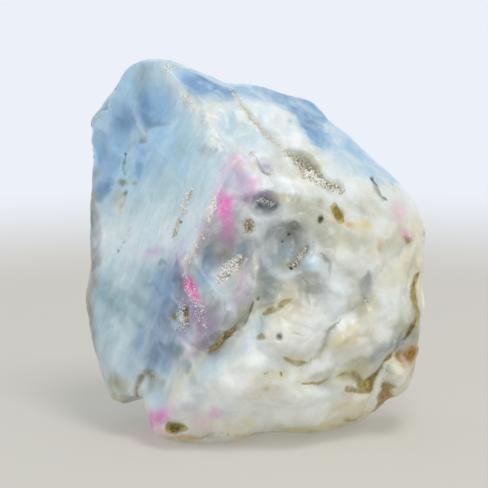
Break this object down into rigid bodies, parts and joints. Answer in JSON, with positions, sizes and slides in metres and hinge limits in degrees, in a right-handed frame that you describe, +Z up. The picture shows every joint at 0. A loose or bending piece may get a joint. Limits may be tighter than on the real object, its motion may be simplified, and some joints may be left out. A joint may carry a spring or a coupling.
{
  "type": "rough blue opal stone",
  "caption": "Rough lump of common blue opal: blue fracture faces, a white folded rind, a deep hollow and small pits. It rests on a flat broken underside.",
  "frame": {"origin": "under the middle of the bounding box, on the surface that the stone rests on", "axes": "+Z up; -Y is the front, which shows the hollow; +X is to the right as the front is seen"},
  "size_m": [0.0512, 0.0398, 0.055],
  "materials": {
    "opal": "waxy to glassy and milky, blue shading to white, with pink and ochre stains",
    "crystals": "fine sparkling sugary crystals, cream, grown in the stone's hollows"
  },
  "bodies": {
    "root": {"opal": "opal"}
  },
  "joints": []
}
